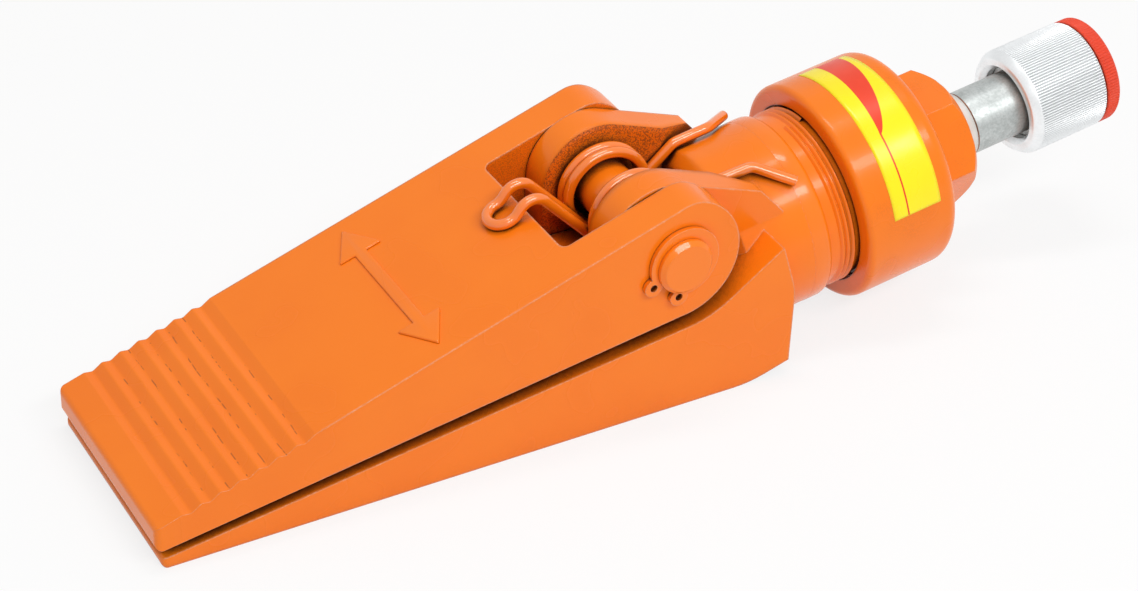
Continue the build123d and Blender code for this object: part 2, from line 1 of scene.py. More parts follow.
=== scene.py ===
# %% [markdown]
# # Hydraulic wedge spreader
# Two cast steel jaws taper to a thin tip. A short hydraulic ram behind them pushes a heel on the
# upper jaw, and the tips part. The CAD model gives every main shape, so this script loads it as a
# fixed frame and adds what a CAD solid lacks: paint, plating, knurls, screw threads and springs.
# All lengths are in metres, and MM turns millimetres into them.

# %% Load the CAD frame
import math

import bmesh
import bpy
from mathutils import Matrix, Vector


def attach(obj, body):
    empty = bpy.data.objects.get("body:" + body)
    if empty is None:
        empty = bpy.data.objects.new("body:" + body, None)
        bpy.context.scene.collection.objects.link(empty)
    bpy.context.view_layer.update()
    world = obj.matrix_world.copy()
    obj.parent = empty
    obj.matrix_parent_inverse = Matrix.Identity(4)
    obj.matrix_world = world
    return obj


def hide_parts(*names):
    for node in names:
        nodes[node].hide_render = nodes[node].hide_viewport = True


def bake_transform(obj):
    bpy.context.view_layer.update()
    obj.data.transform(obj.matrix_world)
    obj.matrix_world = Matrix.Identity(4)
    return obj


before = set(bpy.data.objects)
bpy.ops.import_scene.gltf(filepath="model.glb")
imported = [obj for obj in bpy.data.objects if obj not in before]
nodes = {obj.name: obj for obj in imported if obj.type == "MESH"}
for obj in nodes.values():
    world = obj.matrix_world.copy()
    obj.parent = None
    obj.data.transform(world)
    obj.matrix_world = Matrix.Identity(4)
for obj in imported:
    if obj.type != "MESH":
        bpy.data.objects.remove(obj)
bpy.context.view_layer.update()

MM = 0.001
scene = bpy.context.scene

# %% [markdown]
# ## Camera
# A product photographer looks down on the tool from the tip side with a long lens, so that parallel
# edges stay nearly parallel. The camera is built as a chain of simple moves: turn about the vertical,
# tip forward, roll a little, then step back from the point it looks at. Reading the chain from left
# to right gives its place, and each number can be changed by itself.

# %% Camera
view_turn = math.radians(-30.87)
view_height = math.radians(35.02)
view_roll = math.radians(2.57)
view_distance = 0.6689
looked_at = Vector((0.1129, -0.00437, 0.02188))

camera_data = bpy.data.cameras.new("camera")
camera_data.lens = 88.94
camera_data.sensor_width = 36
camera_data.clip_start = 0.01
camera = bpy.data.objects.new("camera", camera_data)
scene.collection.objects.link(camera)
camera.matrix_world = (
    Matrix.Translation(looked_at)
    @ Matrix.Rotation(view_turn, 4, "Z")
    @ Matrix.Rotation(math.radians(90) - view_height, 4, "X")
    @ Matrix.Rotation(view_roll, 4, "Z")
    @ Matrix.Translation((0, 0, view_distance))
)
scene.camera = camera
print("camera at", [round(value, 3) for value in camera.matrix_world.translation])

# %% [markdown]
# ## Floor, world and lamps
# The tool stands on white paper under two long strip lamps, which draw a thin bright line along each
# rounded edge. Diffuse rays see a dimmer world than the camera does, so the white backdrop doesn't
# wash out the paint. Light Path tells the two apart, and glossy rays are let through as well, because
# polished metal should mirror the white studio. The same rays see the paper with a white glow mixed
# in, so it melts into the backdrop and still keeps the soft shadow under the tool.

# %% White studio
room_light = 0.50
backdrop_light = 1.0
paper_glow = 0.80


def backdrop_rays(tree):
    """1 for rays that see the backdrop itself: camera, mirror and glass rays."""
    path = tree.nodes.new("ShaderNodeLightPath")
    first = tree.nodes.new("ShaderNodeMath")
    first.operation = "MAXIMUM"
    tree.links.new(path.outputs["Is Camera Ray"], first.inputs[0])
    tree.links.new(path.outputs["Is Glossy Ray"], first.inputs[1])
    both = tree.nodes.new("ShaderNodeMath")
    both.operation = "MAXIMUM"
    tree.links.new(first.outputs[0], both.inputs[0])
    tree.links.new(path.outputs["Is Transmission Ray"], both.inputs[1])
    return both.outputs[0]


world = bpy.data.worlds.new("studio")
scene.world = world
world.use_nodes = True
tree = world.node_tree
tree.nodes.clear()
room = tree.nodes.new("ShaderNodeBackground")
room.inputs["Color"].default_value = (1.0, 0.99, 0.98, 1)
room.inputs["Strength"].default_value = room_light
backdrop = tree.nodes.new("ShaderNodeBackground")
backdrop.inputs["Strength"].default_value = backdrop_light
choose = tree.nodes.new("ShaderNodeMixShader")
tree.links.new(backdrop_rays(tree), choose.inputs["Fac"])
tree.links.new(room.outputs[0], choose.inputs[1])
tree.links.new(backdrop.outputs[0], choose.inputs[2])
tree.links.new(choose.outputs[0], tree.nodes.new("ShaderNodeOutputWorld").inputs["Surface"])
scene.view_settings.view_transform = "Standard"

# %% Floor
floor_reach = 3

bm = bmesh.new()
bmesh.ops.create_grid(bm, x_segments=1, y_segments=1, size=floor_reach)
floor_mesh = bpy.data.meshes.new("floor")
bm.to_mesh(floor_mesh)
bm.free()
floor = bpy.data.objects.new("floor", floor_mesh)
scene.collection.objects.link(floor)

paper = bpy.data.materials.new("paper")
paper.use_nodes = True
tree = paper.node_tree
sheet = tree.nodes["Principled BSDF"]
sheet.inputs["Base Color"].default_value = (0.88, 0.88, 0.88, 1)
sheet.inputs["Roughness"].default_value = 0.9
sheet.inputs["Specular IOR Level"].default_value = 0.1
glow = tree.nodes.new("ShaderNodeEmission")
lit = tree.nodes.new("ShaderNodeMixShader")
lit.inputs["Fac"].default_value = paper_glow
tree.links.new(sheet.outputs[0], lit.inputs[1])
tree.links.new(glow.outputs[0], lit.inputs[2])
choose = tree.nodes.new("ShaderNodeMixShader")
tree.links.new(backdrop_rays(tree), choose.inputs["Fac"])
tree.links.new(sheet.outputs[0], choose.inputs[1])
tree.links.new(lit.outputs[0], choose.inputs[2])
tree.links.new(choose.outputs[0], tree.nodes["Material Output"].inputs["Surface"])
floor_mesh.materials.append(paper)


# %% Strip lamps
def strip_lamp(name, place, length, width, watts):
    """A long lamp that faces the middle of the tool, with its length level."""
    lamp = bpy.data.lights.new(name, "AREA")
    lamp.shape = "RECTANGLE"
    lamp.size = length
    lamp.size_y = width
    lamp.energy = watts
    strip = bpy.data.objects.new(name, lamp)
    scene.collection.objects.link(strip)
    aim = (looked_at - Vector(place)).to_track_quat("-Z", "Y")
    strip.matrix_world = Matrix.Translation(place) @ aim.to_matrix().to_4x4()
    print(name, watts, "W")


strip_lamp("key_strip", (0.21, -0.67, 0.76), length=0.80, width=0.16, watts=4.4)
strip_lamp("top_strip", (0.15, 0.10, 1.05), length=0.60, width=0.14, watts=2.8)

# %% [markdown]
# ## Helpers for materials
# A material is a small graph, and a few helpers keep the graphs readable. One adds a node and sets or
# wires its sockets in one line, one does sums, and two ease a value and mix two colours. Effects that
# several finishes share, such as rounded edges or the ripple of thick paint, become node groups with
# named inputs and outputs.

# %% Node helpers
def add(tree, kind, wires=None, **values):
    """One shader node; values fill its sockets or settings, wires join its sockets to others."""
    node = tree.nodes.new("ShaderNode" + kind)
    for name, value in values.items():
        label = name.replace("_", " ")
        if label in node.inputs:
            node.inputs[label].default_value = value
        else:
            setattr(node, name, value)
    for name, source in (wires or {}).items():
        tree.links.new(source, node.inputs[name])
    return node


def sums(tree, operation, first, second=None, third=None):
    """A Math node on sockets or numbers, and its result."""
    node = tree.nodes.new("ShaderNodeMath")
    node.operation = operation
    for slot, value in enumerate((first, second, third)):
        if isinstance(value, bpy.types.NodeSocket):
            tree.links.new(value, node.inputs[slot])
        elif value is not None:
            node.inputs[slot].default_value = value
    return node.outputs[0]


def smooth_step(tree, value, low, high):
    """0 below low, 1 above high, eased between."""
    node = add(tree, "MapRange", {"Value": value}, From_Min=low, From_Max=high)
    node.interpolation_type = "SMOOTHSTEP"
    return node.outputs["Result"]


def blended(tree, amount, first, second):
    """Mixes two colours, each a socket or four numbers."""
    node = tree.nodes.new("ShaderNodeMix")
    node.data_type = "RGBA"
    for slot, value in ((0, amount), (6, first), (7, second)):
        if isinstance(value, bpy.types.NodeSocket):
            tree.links.new(value, node.inputs[slot])
        else:
            node.inputs[slot].default_value = value
    return node.outputs[2]


def new_group(name, inputs, outputs):
    """An empty node group with named sockets."""
    group = bpy.data.node_groups.new(name, "ShaderNodeTree")
    for label, start in inputs.items():
        kind = "NodeSocketVector" if start is None else "NodeSocketFloat"
        socket = group.interface.new_socket(label, in_out="INPUT", socket_type=kind)
        if start is not None:
            socket.default_value = start
    for label, kind in outputs.items():
        group.interface.new_socket(label, in_out="OUTPUT", socket_type=kind)
    taken = group.nodes.new("NodeGroupInput")
    given = group.nodes.new("NodeGroupOutput")
    return group, taken, given


def use_group(tree, group, wires=None, **values):
    """Places a group in a material."""
    node = tree.nodes.new("ShaderNodeGroup")
    node.node_tree = group
    for name, value in values.items():
        node.inputs[name.replace("_", " ")].default_value = value
    for name, source in (wires or {}).items():
        tree.links.new(source, node.inputs[name])
    return node


# %% [markdown]
# ## Shared effects
# Cast and machined edges are never razor sharp. The Bevel node bends the shading normal close to an
# edge, which gives the bright line that a rounded edge catches. The cosine between the bent and the
# true normal falls at an edge, and makes a mask for it, which also paints a pale highlight into the
# colour. The Ambient Occlusion node finds deep gaps by how little of the sky a point sees, and
# painted shade darkens them. Thick gloss paint ripples like orange peel and holds a few nibs of
# dust, and cast skin shows sand grain under it.

# %% Rounded edges
edge_starts = 0.88
edge_full = 0.74

round_edges, taken, given = new_group(
    "round_edges",
    {"Radius": 0.8 * MM},
    {"Normal": "NodeSocketVector", "Edge": "NodeSocketFloat"},
)
bevel = add(round_edges, "Bevel", {"Radius": taken.outputs["Radius"]}, samples=6)
true_normal = add(round_edges, "NewGeometry").outputs["Normal"]
facing = add(round_edges, "VectorMath", {0: bevel.outputs[0], 1: true_normal}, operation="DOT_PRODUCT")
edge = smooth_step(round_edges, facing.outputs["Value"], edge_starts, edge_full)
round_edges.links.new(bevel.outputs[0], given.inputs["Normal"])
round_edges.links.new(edge, given.inputs["Edge"])

# %% Painted shade in hollows
# Painted shade: the less sky a point sees, the darker its colour is made.
shade_starts = 0.54
shade_full = 0.14
ragged_strength = 4.0

hollow_shade, taken, given = new_group(
    "hollow_shade",
    {"Coordinates": None, "Reach": 8 * MM, "Ragged": 0.03},
    {"Depth": "NodeSocketFloat"},
)
sky = add(hollow_shade, "AmbientOcclusion", {"Distance": taken.outputs["Reach"]}, samples=8)
noise = add(hollow_shade, "TexNoise", {"Vector": taken.outputs["Coordinates"]}, Scale=900.0, Detail=3.0)
about_zero = sums(hollow_shade, "SUBTRACT", noise.outputs["Fac"], 0.5)
ragged = sums(hollow_shade, "MULTIPLY", about_zero, taken.outputs["Ragged"])
open_sky = sums(hollow_shade, "MULTIPLY_ADD", ragged, ragged_strength, sky.outputs["AO"])
hollow_shade.links.new(smooth_step(hollow_shade, open_sky, shade_starts, shade_full), given.inputs["Depth"])

# %% Ripple of thick paint
swell_height = 0.7
peel_height = 0.35
nib_height = 0.9
nib_reach = 0.07
nib_rarity = 0.86
sand_height = 2.4
pit_share = 0.5

paint_ripple, taken, given = new_group(
    "paint_ripple",
    {"Coordinates": None, "Grit": 0.0},
    {
        "Height": "NodeSocketFloat",
        "Tone": "NodeSocketFloat",
        "Specks": "NodeSocketFloat",
        "Glints": "NodeSocketFloat",
    },
)
place = taken.outputs["Coordinates"]
peel = add(paint_ripple, "TexNoise", {"Vector": place}, Scale=420.0, Detail=2.0, Roughness=0.5)
swell = add(paint_ripple, "TexNoise", {"Vector": place}, Scale=45.0, Detail=2.0, Roughness=0.5)
grain = add(paint_ripple, "TexNoise", {"Vector": place}, Scale=1300.0, Detail=3.0, Roughness=0.6)
pits = add(paint_ripple, "TexVoronoi", {"Vector": place}, Scale=900.0)
nibs = add(paint_ripple, "TexVoronoi", {"Vector": place}, Scale=210.0)
rare = add(paint_ripple, "SeparateXYZ", {0: nibs.outputs["Color"]})
nib = sums(
    paint_ripple,
    "MULTIPLY",
    smooth_step(paint_ripple, nibs.outputs["Distance"], nib_reach, 0.0),
    sums(paint_ripple, "GREATER_THAN", rare.outputs["X"], nib_rarity),
)
pitted = sums(paint_ripple, "MULTIPLY", pits.outputs["Distance"], pit_share)
sand = sums(paint_ripple, "ADD", grain.outputs["Fac"], pitted)
sand = sums(paint_ripple, "MULTIPLY", sand, taken.outputs["Grit"])
wave = sums(paint_ripple, "MULTIPLY", peel.outputs["Fac"], peel_height)
wave = sums(paint_ripple, "MULTIPLY_ADD", swell.outputs["Fac"], swell_height, wave)
wave = sums(paint_ripple, "MULTIPLY_ADD", nib, nib_height, wave)
height = sums(paint_ripple, "MULTIPLY_ADD", sand, sand_height, wave)
fine = add(paint_ripple, "TexNoise", {"Vector": place}, Scale=3000.0, Detail=1.0)
dark_grain = smooth_step(paint_ripple, fine.outputs["Fac"], 0.56, 0.40)
specks = sums(paint_ripple, "MULTIPLY", dark_grain, taken.outputs["Grit"])
# Glints break up the painted highlight that the rounded edges get.
glints = smooth_step(paint_ripple, grain.outputs["Fac"], 0.50, 0.62)
paint_ripple.links.new(height, given.inputs["Height"])
paint_ripple.links.new(swell.outputs["Fac"], given.inputs["Tone"])
paint_ripple.links.new(specks, given.inputs["Specks"])
paint_ripple.links.new(glints, given.inputs["Glints"])

# %% [markdown]
# ## Gloss orange paint
# The castings were dipped or sprayed after assembly, so jaws, pin, rings, spring, barrel and cap
# share one thick orange coat. It is a coloured base under a clear coat, which is faint on the faces
# and full on the rounded edges, where it catches the lamps. A paler orange on the rounded edges is a
# painted highlight, and a near black brown in the hollows is painted shade. Inside the fork the
# sand grain of the casting shows through, and a mask made from the object's own coordinates puts it
# there.

# %% Orange paint
ORANGE = (0.950, 0.212, 0.006, 1)
DEEP_ORANGE = (0.86, 0.155, 0.004, 1)
# Painted highlight colour for the rounded edges.
PAINTED_HIGHLIGHT_ORANGE = (1.0, 0.66, 0.42, 1)
# Painted shade colour for the hollows.
PAINTED_SHADE_BROWN = (0.055, 0.013, 0.005, 1)
# Colour of the bare sand grain, and of the painted shade lines in the tooth roots.
GRAIN_AND_SHADE_BROWN = (0.26, 0.065, 0.014, 1)
PAINT_ROUGHNESS = 0.24
ROUGHER_TONE = 0.05
ROUGHER_GRIT = 0.14
TONE_SHARE = 0.25
GRIT_SHARE = 0.6
SPECK_SHARE = 0.75
LEAST_GLINT = 0.30
MORE_GLINT = 0.45
PEEL_DEPTH = 0.10 * MM


def orange_paint(
    name,
    grit_mask=None,
    radius_mask=None,
    shade_line_mask=None,
    radius=1.0 * MM,
    reach=14 * MM,
    gloss=0.08,
):
    """Thick gloss orange over cast steel.

    The masks give the sand grain, how many millimetres to add to the radius of the edges, and the
    painted shade lines. Reach is how far the painted shade of a hollow looks for its walls, and gloss
    is the clear coat on the faces.
    """
    material = bpy.data.materials.new(name)
    material.use_nodes = True
    tree = material.node_tree
    skin = tree.nodes["Principled BSDF"]
    where = add(tree, "TexCoord")
    place = {"Coordinates": where.outputs["Object"]}
    ripple = use_group(tree, paint_ripple, place)
    edges = use_group(tree, round_edges, Radius=radius)
    hollow = use_group(tree, hollow_shade, place, Reach=reach)
    tone = smooth_step(tree, ripple.outputs["Tone"], 0.35, 0.7)
    colour = blended(tree, sums(tree, "MULTIPLY", tone, TONE_SHARE), ORANGE, DEEP_ORANGE)
    rough = sums(tree, "MULTIPLY_ADD", tone, ROUGHER_TONE, PAINT_ROUGHNESS)
    edge = edges.outputs["Edge"]
    if radius_mask:
        wider = radius_mask(tree, where)
        tree.links.new(sums(tree, "MULTIPLY_ADD", wider, MM, radius), edges.inputs["Radius"])
        edge = sums(tree, "MULTIPLY", edge, smooth_step(tree, wider, 1.0, 0.0))
    if grit_mask:
        grit = grit_mask(tree, where)
        tree.links.new(grit, ripple.inputs["Grit"])
        colour = blended(tree, sums(tree, "MULTIPLY", grit, GRIT_SHARE), colour, DEEP_ORANGE)
        specks = sums(tree, "MULTIPLY", ripple.outputs["Specks"], SPECK_SHARE)
        colour = blended(tree, specks, colour, GRAIN_AND_SHADE_BROWN)
        rough = sums(tree, "MULTIPLY_ADD", grit, ROUGHER_GRIT, rough)
    if shade_line_mask:
        # Painted shade: broken dark lines in the tooth roots.
        colour = blended(tree, shade_line_mask(tree, where), colour, GRAIN_AND_SHADE_BROWN)
    glint = sums(tree, "MULTIPLY_ADD", ripple.outputs["Glints"], MORE_GLINT, LEAST_GLINT)
    # Painted shade: the hollows turn near black brown.
    colour = blended(tree, hollow.outputs["Depth"], colour, PAINTED_SHADE_BROWN)
    # Painted highlight: the rounded edges turn pale orange, broken up by glints.
    colour = blended(tree, sums(tree, "MULTIPLY", edge, glint), colour, PAINTED_HIGHLIGHT_ORANGE)
    tree.links.new(colour, skin.inputs["Base Color"])
    tree.links.new(rough, skin.inputs["Roughness"])
    skin.inputs["Specular IOR Level"].default_value = 0.25
    tree.links.new(sums(tree, "MULTIPLY_ADD", edge, 1 - gloss, gloss), skin.inputs["Coat Weight"])
    skin.inputs["Coat Roughness"].default_value = 0.08
    skin.inputs["Coat IOR"].default_value = 1.8
    bump = add(
        tree,
        "Bump",
        {"Height": ripple.outputs["Height"], "Normal": edges.outputs["Normal"]},
        Strength=0.5,
        Distance=PEEL_DEPTH,
    )
    tree.links.new(bump.outputs[0], skin.inputs["Normal"])
    return material


def inside_fork(half_width, front, rear=158 * MM):
    """Mask for the side walls inside the fork, from front to rear."""
    fade = 0.5 * MM

    def mask(tree, where):
        spot = add(tree, "SeparateXYZ", {0: where.outputs["Object"]})
        way = add(tree, "SeparateXYZ", {0: where.outputs["Normal"]})
        aside = sums(tree, "ABSOLUTE", spot.outputs["Y"])
        near_middle = smooth_step(tree, aside, half_width + 0.2 * MM, half_width - 0.6 * MM)
        sideways = smooth_step(tree, sums(tree, "ABSOLUTE", way.outputs["Y"]), 0.35, 0.8)
        behind = smooth_step(tree, spot.outputs["X"], front - fade, front + fade)
        before = smooth_step(tree, spot.outputs["X"], rear + 4 * fade, rear)
        inside = sums(tree, "MULTIPLY", near_middle, sideways)
        return sums(tree, "MULTIPLY", inside, sums(tree, "MULTIPLY", behind, before))
    return mask


notch_front = 100 * MM
lug_front = 108 * MM
wider_rim = 2.0
tighter_teeth = -0.6


def lug_rims(tree, where):
    """Where the inner rims of the two lugs were ground to a wider rounding."""
    spot = add(tree, "SeparateXYZ", {0: where.outputs["Object"]})
    aside = sums(tree, "ABSOLUTE", spot.outputs["Y"])
    inner = smooth_step(tree, aside, 15.5 * MM, 14.0 * MM)
    behind = smooth_step(tree, spot.outputs["X"], lug_front, lug_front + 2 * MM)
    return sums(tree, "MULTIPLY", sums(tree, "MULTIPLY", inner, behind), wider_rim)


def tooth_zone(tree, where):
    """Where the teeth keep tighter edges than the jaw's long sides."""
    spot = add(tree, "SeparateXYZ", {0: where.outputs["Object"]})
    toothed = smooth_step(tree, spot.outputs["X"], 37 * MM, 35 * MM)
    return sums(tree, "MULTIPLY", toothed, tighter_teeth)


root_x = 5.15 * MM
root_pitch = 4.57 * MM
root_drift = 0.9 * MM
first_root = 8 * MM
last_root = 34 * MM
root_fade = 0.5 * MM
root_shade_share = 0.65


def root_shade_lines(tree, where):
    """Broken dark lines of painted shade at the bottoms of the tooth gaps."""
    spot = add(tree, "SeparateXYZ", {0: where.outputs["Object"]})
    way = add(tree, "SeparateXYZ", {0: where.outputs["Normal"]})
    drift = add(tree, "TexNoise", {"Vector": where.outputs["Object"]}, Scale=110.0, Detail=2.0)
    breaks = add(tree, "TexNoise", {"Vector": where.outputs["Object"]}, Scale=330.0, Detail=3.0)
    shifted = sums(tree, "MULTIPLY_ADD", drift.outputs["Fac"], root_drift, spot.outputs["X"])
    turns = sums(tree, "DIVIDE", sums(tree, "SUBTRACT", shifted, root_x + root_drift / 2), root_pitch)
    nearest = sums(tree, "SUBTRACT", sums(tree, "FRACT", sums(tree, "ADD", turns, 0.5)), 0.5)
    line = smooth_step(tree, sums(tree, "ABSOLUTE", nearest), 0.045, 0.012)
    broken = smooth_step(tree, breaks.outputs["Fac"], 0.52, 0.62)
    toothed = sums(
        tree,
        "MULTIPLY",
        smooth_step(tree, spot.outputs["X"], last_root + root_fade, last_root),
        smooth_step(tree, spot.outputs["X"], first_root - root_fade, first_root),
    )
    on_top = smooth_step(tree, sums(tree, "MULTIPLY", toothed, way.outputs["Z"]), 0.5, 0.7)
    strength = sums(tree, "MULTIPLY", on_top, root_shade_share)
    return sums(tree, "MULTIPLY", sums(tree, "MULTIPLY", line, broken), strength)


def all_over(amount):
    """The same light grain everywhere."""
    def mask(tree, where):
        spread = add(tree, "TexNoise", {"Vector": where.outputs["Object"]}, Scale=70.0, Detail=2.0)
        return sums(tree, "MULTIPLY", smooth_step(tree, spread.outputs["Fac"], 0.45, 0.7), amount)
    return mask


jaw_paint = orange_paint("jaw_paint", inside_fork(19.6 * MM, notch_front), tooth_zone, root_shade_lines)
lug_paint = orange_paint("lug_paint", inside_fork(18.6 * MM, lug_front), lug_rims)
cap_paint = orange_paint("cap_paint", all_over(0.16), radius=0.6 * MM, reach=1.4 * MM)
small_paint = orange_paint("small_paint", radius=0.35 * MM, reach=6 * MM, gloss=0.2)
wire_paint = orange_paint("wire_paint", radius=0.35 * MM, reach=6 * MM, gloss=0.85)

# %% [markdown]
# ## Metals, plastic and rubber
# The coupler is zinc plated: a pale metal with faint turning marks around its axis and a cloudy
# bloom. To run marks around the ram's tilted axis, a Mapping node turns the object's coordinates
# until X lies along that axis, and the noise then reads X alone. The same coordinates give the
# distance from the axis, which paints shade into the grooves of the knurl.

# %% Ram axis
ram_rear_of_casting = Vector((161, 0, 24.8)) * MM
ram_tilt = math.radians(9.4)
ram_place = Matrix.Translation(ram_rear_of_casting) @ Matrix.Rotation(-ram_tilt, 4, "Y")


def along_ram(tree, where):
    """Object coordinates turned so that X runs along the ram."""
    centred = add(tree, "VectorMath", {0: where.outputs["Object"]}, operation="SUBTRACT")
    centred.inputs[1].default_value = ram_rear_of_casting
    turned = add(
        tree, "VectorRotate", {"Vector": centred.outputs[0]}, rotation_type="Y_AXIS", Angle=ram_tilt
    )
    return turned.outputs[0]


GROOVE_TOP = 13.98 * MM
GROOVE_BOTTOM = 13.80 * MM
GROOVE_LEAST = 13.6 * MM
GROOVE_FRONT = 84.4 * MM
GROOVE_FADE = 0.5 * MM


def knurl_groove_shade(tree, spot):
    """Mask of painted shade for the bottoms of the sleeve's grooves, by their distance from the ram's
    axis.
    """
    across = sums(tree, "MULTIPLY", spot.outputs["Y"], spot.outputs["Y"])
    reach = sums(tree, "SQRT", sums(tree, "MULTIPLY_ADD", spot.outputs["Z"], spot.outputs["Z"], across))
    low = smooth_step(tree, reach, GROOVE_TOP, GROOVE_BOTTOM)
    outside = sums(tree, "GREATER_THAN", reach, GROOVE_LEAST)
    knurled = smooth_step(tree, spot.outputs["X"], GROOVE_FRONT, GROOVE_FRONT + GROOVE_FADE)
    return sums(tree, "MULTIPLY", sums(tree, "MULTIPLY", knurled, low), outside)


# Painted highlight colour for the rounded edges of the metal.
HIGHLIGHT_METAL = (0.90, 0.90, 0.90, 1)
# Painted shade colour for the knurl's grooves.
GROOVE_SHADE_METAL = (0.46, 0.48, 0.49, 1)
# Painted shade colour for the hollows of the metal.
PAINTED_METAL_SHADE = (0.06, 0.06, 0.06, 1)
EDGE_HIGHLIGHT_SHARE = 0.5
GROOVE_SHADE_SHARE = 0.85
BLOOM_ROUGHNESS = 0.12
FROST_HEIGHT = 0.6


def turned_metal(name, colour, dark, roughness, mark_scale, mark_depth, grooves=None):
    """Metal with turning marks around the ram's axis and a frosted, cloudy surface."""
    material = bpy.data.materials.new(name)
    material.use_nodes = True
    tree = material.node_tree
    skin = tree.nodes["Principled BSDF"]
    where = add(tree, "TexCoord")
    spot = add(tree, "SeparateXYZ", {0: along_ram(tree, where)})
    place = where.outputs["Object"]
    marks = add(
        tree, "TexNoise", {"W": spot.outputs["X"]}, noise_dimensions="1D", Scale=mark_scale, Detail=4.0
    )
    cloud = add(tree, "TexNoise", {"Vector": place}, Scale=240.0, Detail=3.0, Roughness=0.6)
    frost = add(tree, "TexNoise", {"Vector": place}, Scale=1500.0, Detail=3.0, Roughness=0.6)
    half_frost = sums(tree, "MULTIPLY", frost.outputs["Fac"], 0.5)
    bloom = sums(tree, "MULTIPLY_ADD", cloud.outputs["Fac"], 0.5, half_frost)
    bloom = smooth_step(tree, bloom, 0.34, 0.68)
    edges = use_group(tree, round_edges, Radius=0.2 * MM)
    hollow = use_group(tree, hollow_shade, {"Coordinates": place}, Reach=1.6 * MM, Ragged=0.02)
    shade = blended(tree, bloom, colour, dark)
    # Painted highlight: the rounded edges of the metal are made paler.
    edge_highlight = sums(tree, "MULTIPLY", edges.outputs["Edge"], EDGE_HIGHLIGHT_SHARE)
    shade = blended(tree, edge_highlight, shade, HIGHLIGHT_METAL)
    if grooves:
        # Painted shade: the bottoms of the knurl's grooves are darkened.
        groove_shade = sums(tree, "MULTIPLY", grooves(tree, spot), GROOVE_SHADE_SHARE)
        shade = blended(tree, groove_shade, shade, GROOVE_SHADE_METAL)
    # Painted shade: the hollows of the metal are darkened.
    shade = blended(tree, hollow.outputs["Depth"], shade, PAINTED_METAL_SHADE)
    tree.links.new(shade, skin.inputs["Base Color"])
    rough = sums(tree, "MULTIPLY_ADD", bloom, BLOOM_ROUGHNESS, roughness)
    tree.links.new(rough, skin.inputs["Roughness"])
    skin.inputs["Metallic"].default_value = 1.0
    grain = sums(tree, "MULTIPLY_ADD", frost.outputs["Fac"], FROST_HEIGHT, marks.outputs["Fac"])
    bump = add(
        tree,
        "Bump",
        {"Height": grain, "Normal": edges.outputs["Normal"]},
        Strength=0.5,
        Distance=mark_depth,
    )
    tree.links.new(bump.outputs[0], skin.inputs["Normal"])
    return material


zinc = turned_metal(
    "zinc",
    colour=(0.96, 0.98, 0.99, 1),
    dark=(0.88, 0.90, 0.91, 1),
    roughness=0.30,
    mark_scale=5200.0,
    mark_depth=0.020 * MM,
    grooves=knurl_groove_shade,
)
dull_zinc = turned_metal(
    "dull_zinc",
    colour=(0.62, 0.65, 0.64, 1),
    dark=(0.45, 0.48, 0.47, 1),
    roughness=0.40,
    mark_scale=5200.0,
    mark_depth=0.025 * MM,
)
ground_steel = turned_metal(
    "ground_steel",
    colour=(0.60, 0.60, 0.61, 1),
    dark=(0.45, 0.45, 0.47, 1),
    roughness=0.20,
    mark_scale=9000.0,
    mark_depth=0.008 * MM,
)


# %% Plastic, rubber and sealing rings
def moulded(name, colour, dark, roughness, grain_scale, grain_depth, radius=0.3 * MM):
    """Soft or moulded material with a fine skin and a slow change of tone."""
    material = bpy.data.materials.new(name)
    material.use_nodes = True
    tree = material.node_tree
    skin = tree.nodes["Principled BSDF"]
    where = add(tree, "TexCoord")
    grain = add(tree, "TexNoise", {"Vector": where.outputs["Object"]}, Scale=grain_scale, Detail=3.0)
    cloud = add(tree, "TexNoise", {"Vector": where.outputs["Object"]}, Scale=110.0, Detail=3.0)
    tone = smooth_step(tree, cloud.outputs["Fac"], 0.35, 0.68)
    edges = use_group(tree, round_edges, Radius=radius)
    tree.links.new(blended(tree, tone, colour, dark), skin.inputs["Base Color"])
    tree.links.new(sums(tree, "MULTIPLY_ADD", tone, 0.1, roughness), skin.inputs["Roughness"])
    bump = add(
        tree,
        "Bump",
        {"Height": grain.outputs["Fac"], "Normal": edges.outputs["Normal"]},
        Strength=0.5,
        Distance=grain_depth,
    )
    tree.links.new(bump.outputs[0], skin.inputs["Normal"])
    return material


red_plastic = moulded(
    "red_plastic",
    colour=(0.82, 0.055, 0.010, 1),
    dark=(0.74, 0.045, 0.008, 1),
    roughness=0.38,
    grain_scale=2400.0,
    grain_depth=0.02 * MM,
)
seal_rubber = moulded(
    "seal_rubber",
    colour=(0.022, 0.022, 0.024, 1),
    dark=(0.035, 0.034, 0.033, 1),
    roughness=0.55,
    grain_scale=3000.0,
    grain_depth=0.02 * MM,
)
white_ring = moulded(
    "white_ring",
    colour=(0.80, 0.79, 0.76, 1),
    dark=(0.66, 0.64, 0.60, 1),
    roughness=0.42,
    grain_scale=1600.0,
    grain_depth=0.06 * MM,
)
sealant = moulded(
    "sealant",
    colour=(0.30, 0.12, 0.06, 1),
    dark=(0.14, 0.06, 0.03, 1),
    roughness=0.5,
    grain_scale=1800.0,
    grain_depth=0.05 * MM,
)
yellow_vinyl = moulded(
    "yellow_vinyl",
    colour=(1.0, 0.84, 0.001, 1),
    dark=(1.0, 0.80, 0.001, 1),
    roughness=0.24,
    grain_scale=500.0,
    grain_depth=0.012 * MM,
    radius=0.01 * MM,
)
red_ink = moulded(
    "red_ink",
    colour=(0.86, 0.052, 0.010, 1),
    dark=(0.82, 0.045, 0.008, 1),
    roughness=0.28,
    grain_scale=500.0,
    grain_depth=0.012 * MM,
    radius=0.01 * MM,
)

